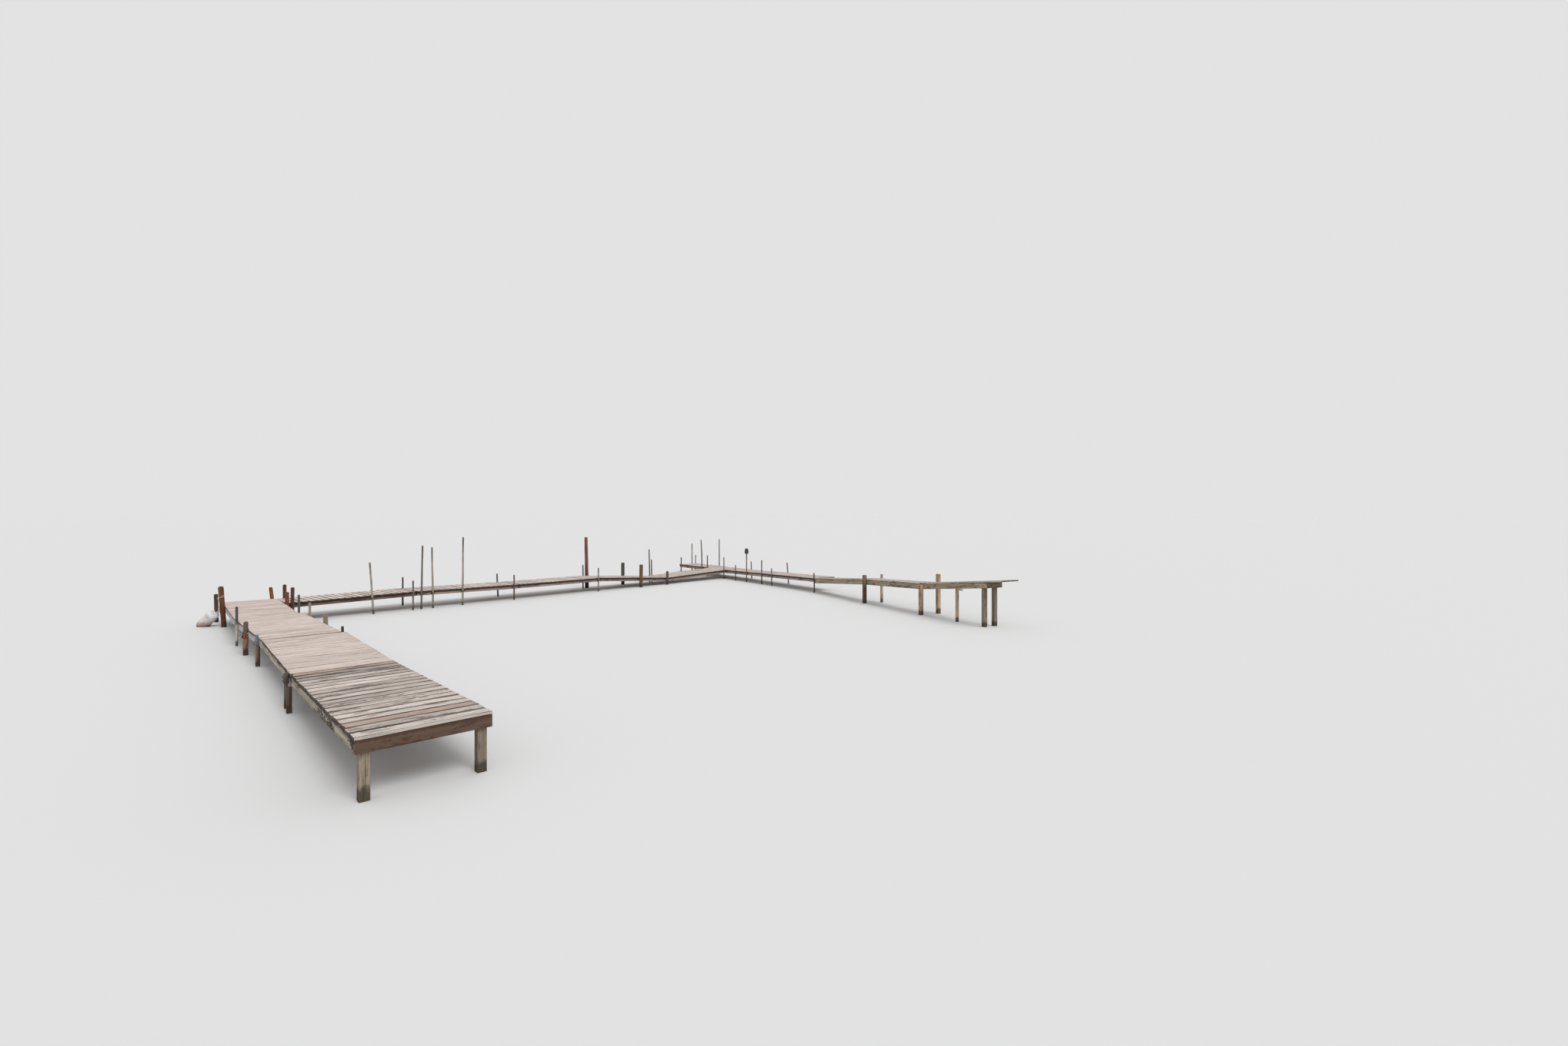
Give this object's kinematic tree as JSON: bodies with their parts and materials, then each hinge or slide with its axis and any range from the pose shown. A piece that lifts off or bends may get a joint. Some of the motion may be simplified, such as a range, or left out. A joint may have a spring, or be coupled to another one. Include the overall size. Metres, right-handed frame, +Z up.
{
  "type": "wooden jetty",
  "caption": "Low timber lake jetty in bays: a beach ramp leading out, a cross walkway and a return walkway to the bank with an outer finger, on leaning posts and poles.",
  "frame": {"origin": "at the water line, under the middle of the outline of the whole jetty", "axes": "+X along the cross walkway from the landing leg to the return walkway, +Y out into the lake, +Z up"},
  "size_m": [18.5073, 17.264, 1.8901],
  "materials": {
    "leg_boards": "weathered, dry",
    "cross_boards": "weathered, dry",
    "bank_planks": "weathered, dry",
    "leg_stringers": "weathered, stained",
    "cross_stringers": "dark, damp",
    "bank_stringers": "weathered",
    "post_timber": "weathered",
    "pole_timber": "weathered",
    "red_log": "weathered, red brown",
    "galvanised_steel": "dull, galvanised",
    "cap_paint": "dark, matt",
    "float_plastic": "chalky, stained at the water line",
    "rope": "weathered"
  },
  "bodies": {
    "root": {"leg_deck_1": "leg_boards", "leg_deck_2": "leg_boards", "leg_deck_3": "leg_boards", "leg_deck_4": "leg_boards", "leg_frame_1": "leg_stringers", "leg_frame_2": "leg_stringers", "leg_frame_3": "leg_stringers", "leg_frame_4": "leg_stringers", "cross_deck_1": "cross_boards", "cross_deck_2": "cross_boards", "cross_deck_3": "cross_boards", "cross_deck_4": "cross_boards", "cross_deck_5": "cross_boards", "cross_frame_1": "cross_stringers", "cross_frame_2": "cross_stringers", "cross_frame_3": "cross_stringers", "cross_frame_4": "cross_stringers", "cross_frame_5": "cross_stringers", "return_deck_1": "cross_boards", "return_deck_2": "cross_boards", "return_deck_3": "cross_boards", "return_deck_4": "cross_boards", "return_deck_5": "bank_planks", "return_deck_6": "bank_planks", "return_deck_7": "bank_planks", "return_frame_1": "cross_stringers", "return_frame_2": "cross_stringers", "return_frame_3": "cross_stringers", "return_frame_4": "cross_stringers", "return_frame_5": "bank_stringers", "return_frame_6": "bank_stringers", "return_frame_7": "bank_stringers", "timber_posts": "post_timber", "slim_posts": "post_timber", "round_logs": "red_log", "steel_legs": "galvanised_steel", "leg_sleeves": "galvanised_steel", "short_poles": "pole_timber", "tall_masts": "pole_timber", "big_pile": "red_log", "pole_cap": "cap_paint", "pole_straps": "galvanised_steel", "float_barrel": "float_plastic", "log_rope": "rope"}
  },
  "joints": []
}
